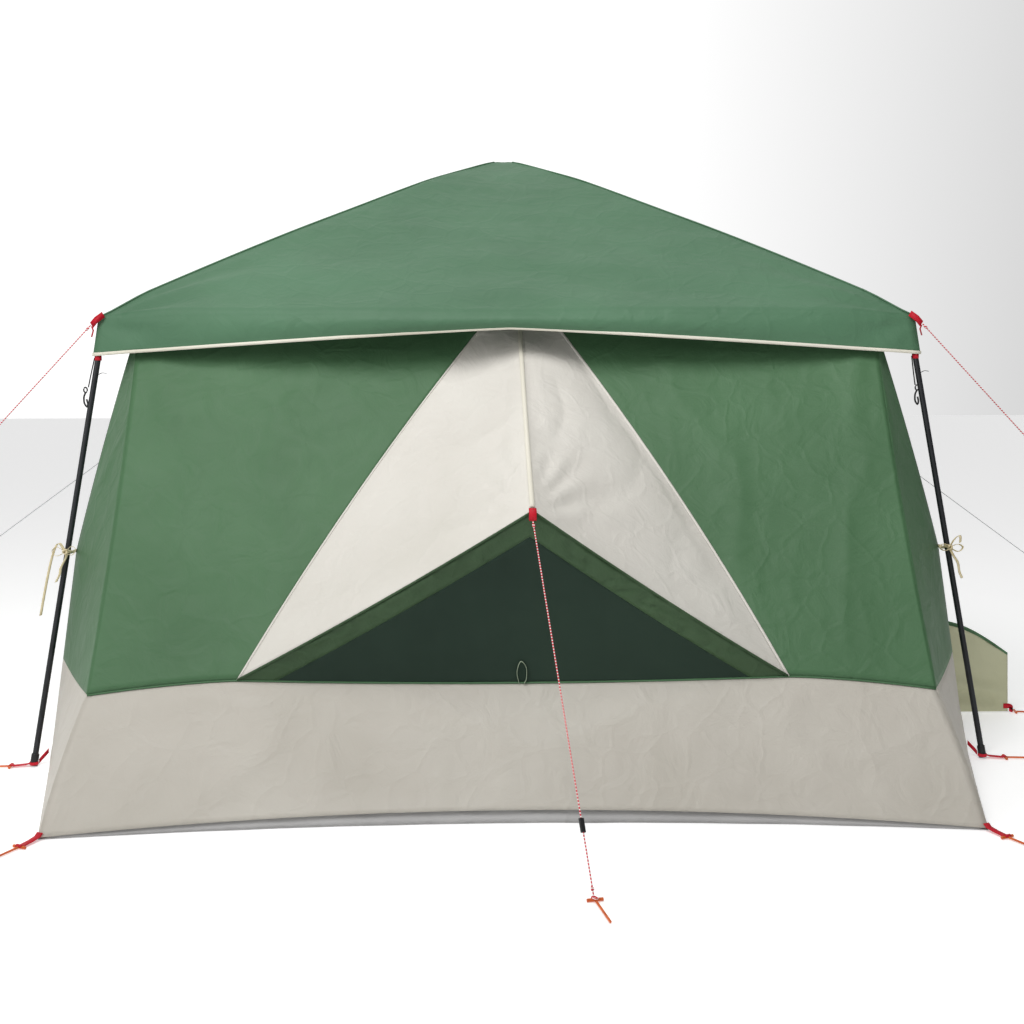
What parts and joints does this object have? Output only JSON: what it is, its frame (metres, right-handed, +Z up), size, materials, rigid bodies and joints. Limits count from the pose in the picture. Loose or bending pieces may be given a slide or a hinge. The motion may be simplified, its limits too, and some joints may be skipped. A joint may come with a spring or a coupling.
{
  "type": "screen house",
  "caption": "Square screen house: pyramid roof with valance on leaning steel legs, cloth room with flared pegged corners, mud wall, hooded mesh window and guy ropes.",
  "frame": {"origin": "middle of the groundsheet's underside, on the ground", "axes": "+Z up, -Y towards the hooded window at the front, +X to the right seen from the front"},
  "size_m": [8.224, 6.1622, 2.5978],
  "materials": {
    "cream_cloth": "coated polyester",
    "ferrule_steel": "plain steel",
    "frame_plastic": "moulded, matt",
    "frame_steel": "black powder coat",
    "grey_rope": "braided cord",
    "groundsheet_cloth": "laminated polyethylene weave",
    "khaki_cloth": "coated polyester, in shade",
    "loop_ribbon": "woven ribbon",
    "mesh": "knitted insect mesh",
    "peg_orange": "orange coat",
    "red_rope": "braided cord, red and white",
    "red_webbing": "woven webbing",
    "roof_cloth": "coated polyester",
    "slider_plastic": "moulded, satin",
    "tie_ribbon": "woven ribbon",
    "wall_cloth": "coated polyester",
    "zip_cloth": "woven tape",
    "zip_metal": "enamelled"
  },
  "bodies": {
    "root": {"apex_hub": "frame_plastic", "corner_elbows": "frame_plastic", "corner_gussets": "wall_cloth", "corner_mudwalls": "cream_cloth", "foot_caps": "frame_plastic", "ground_pegs": "peg_orange", "groundsheet": "groundsheet_cloth", "guy_rope_back_left": "grey_rope", "guy_rope_back_right": "grey_rope", "guy_rope_front_left": "red_rope", "guy_rope_front_right": "red_rope", "guy_rope_hood": "red_rope", "hood_band": "wall_cloth", "hood_panel": "cream_cloth", "hood_tab": "red_webbing", "leg_ferrules": "ferrule_steel", "leg_lower_back_left": "frame_steel", "leg_lower_back_right": "frame_steel", "leg_lower_front_left": "frame_steel", "leg_lower_front_right": "frame_steel", "leg_upper_back_left": "frame_steel", "leg_upper_back_right": "frame_steel", "leg_upper_front_left": "frame_steel", "leg_upper_front_right": "frame_steel", "mudwall_back": "cream_cloth", "mudwall_front": "cream_cloth", "mudwall_left": "cream_cloth", "mudwall_right": "cream_cloth", "peg_loops": "red_webbing", "rib_ferrules": "ferrule_steel", "roof_back": "roof_cloth", "roof_corner_tabs": "red_webbing", "roof_front": "roof_cloth", "roof_left": "roof_cloth", "roof_ribs_lower": "frame_steel", "roof_ribs_upper": "frame_steel", "roof_right": "roof_cloth", "valance_back": "roof_cloth", "valance_front": "roof_cloth", "valance_left": "roof_cloth", "valance_right": "roof_cloth", "wall_back": "wall_cloth", "wall_front_left": "wall_cloth", "wall_front_right": "wall_cloth", "wall_hooks": "slider_plastic", "wall_left": "wall_cloth", "wall_right": "wall_cloth", "wall_ties": "tie_ribbon", "window_loop": "loop_ribbon", "window_mesh": "mesh", "zip_tape": "zip_cloth"},
    "side_flap": {"side_flap": "khaki_cloth", "flap_tab": "red_webbing"},
    "zip_slider": {"zip_slider": "zip_metal"},
    "rope_slider_back_left": {"rope_slider_back_left": "slider_plastic"},
    "rope_slider_back_right": {"rope_slider_back_right": "slider_plastic"},
    "rope_slider_front_left": {"rope_slider_front_left": "slider_plastic"},
    "rope_slider_front_right": {"rope_slider_front_right": "slider_plastic"},
    "rope_slider_hood": {"rope_slider_hood": "slider_plastic"}
  },
  "joints": [
    {"name": "side_flap_swing", "type": "hinge", "parent": "root", "child": "side_flap", "pos_m": [1.806, -1.17, 0.2], "axis": [0, 0, 1], "range_deg": [0, 90]},
    {"name": "zip_slider_slide", "type": "slide", "parent": "root", "child": "zip_slider", "axis": [0.1812, 0, -0.9835], "range_m": [0, 0.28]},
    {"name": "rope_slider_back_left_slide", "type": "slide", "parent": "root", "child": "rope_slider_back_left", "axis": [0.8095, 0.0098, 0.5871], "range_m": [0, 0.6]},
    {"name": "rope_slider_back_right_slide", "type": "slide", "parent": "root", "child": "rope_slider_back_right", "axis": [-0.8095, 0.0098, 0.5871], "range_m": [0, 0.6]},
    {"name": "rope_slider_front_left_slide", "type": "slide", "parent": "root", "child": "rope_slider_front_left", "axis": [0.6937, -0.012, 0.7202], "range_m": [0, 0.6]},
    {"name": "rope_slider_front_right_slide", "type": "slide", "parent": "root", "child": "rope_slider_front_right", "axis": [-0.6937, -0.012, 0.7202], "range_m": [0, 0.6]},
    {"name": "rope_slider_hood_slide", "type": "slide", "parent": "root", "child": "rope_slider_hood", "axis": [-0.1156, 0.5916, 0.7979], "range_m": [0, 0.3]}
  ]
}
